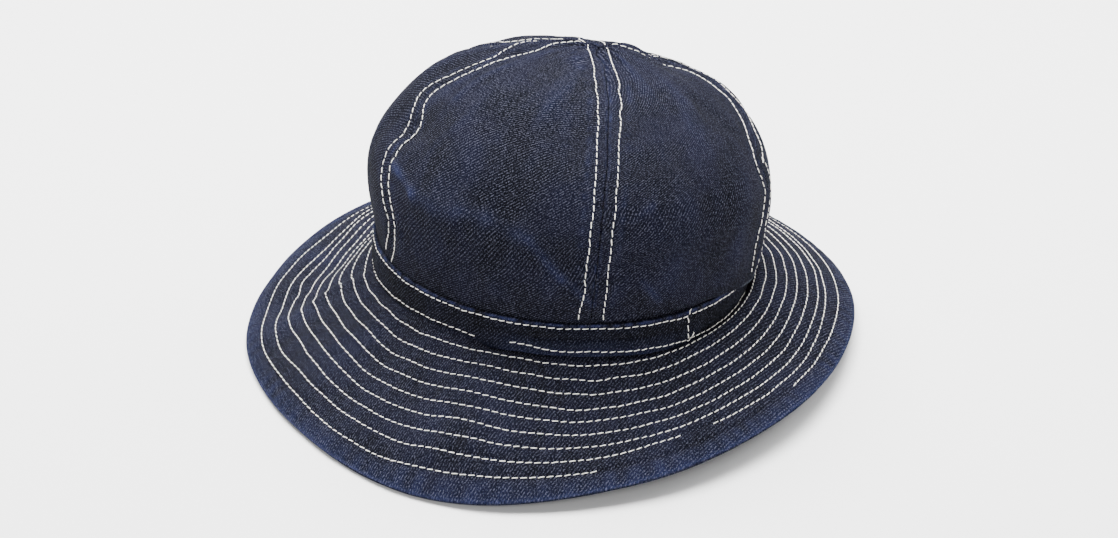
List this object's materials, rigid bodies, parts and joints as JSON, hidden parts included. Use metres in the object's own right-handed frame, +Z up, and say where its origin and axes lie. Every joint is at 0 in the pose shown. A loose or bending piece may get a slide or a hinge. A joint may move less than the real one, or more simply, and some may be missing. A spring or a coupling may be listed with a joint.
{
  "type": "denim army hat",
  "caption": "Soft indigo denim hat with a panelled crown, a stitched band and a wide sloping two-ply brim with rows of stitching, resting on its brim.",
  "frame": {"origin": "on the surface the hat rests on, under the middle of the hat's bounding box", "axes": "+Z up, -Y towards the front of the hat, +X towards the wearer's left"},
  "size_m": [0.2956, 0.3184, 0.1354],
  "materials": {
    "denim": "dark indigo right-hand twill denim, once washed, with pale flecks and worn high spots",
    "denim_band": "the same dark indigo twill denim, folded into a flat strip"
  },
  "bodies": {
    "root": {"crown_panel_front_left": "denim", "crown_panel_front_right": "denim", "crown_panel_side_left": "denim", "crown_panel_side_right": "denim", "crown_panel_back_left": "denim", "crown_panel_back_right": "denim", "hat_band": "denim_band", "brim_upper_ply": "denim", "brim_lower_ply": "denim"}
  },
  "joints": []
}
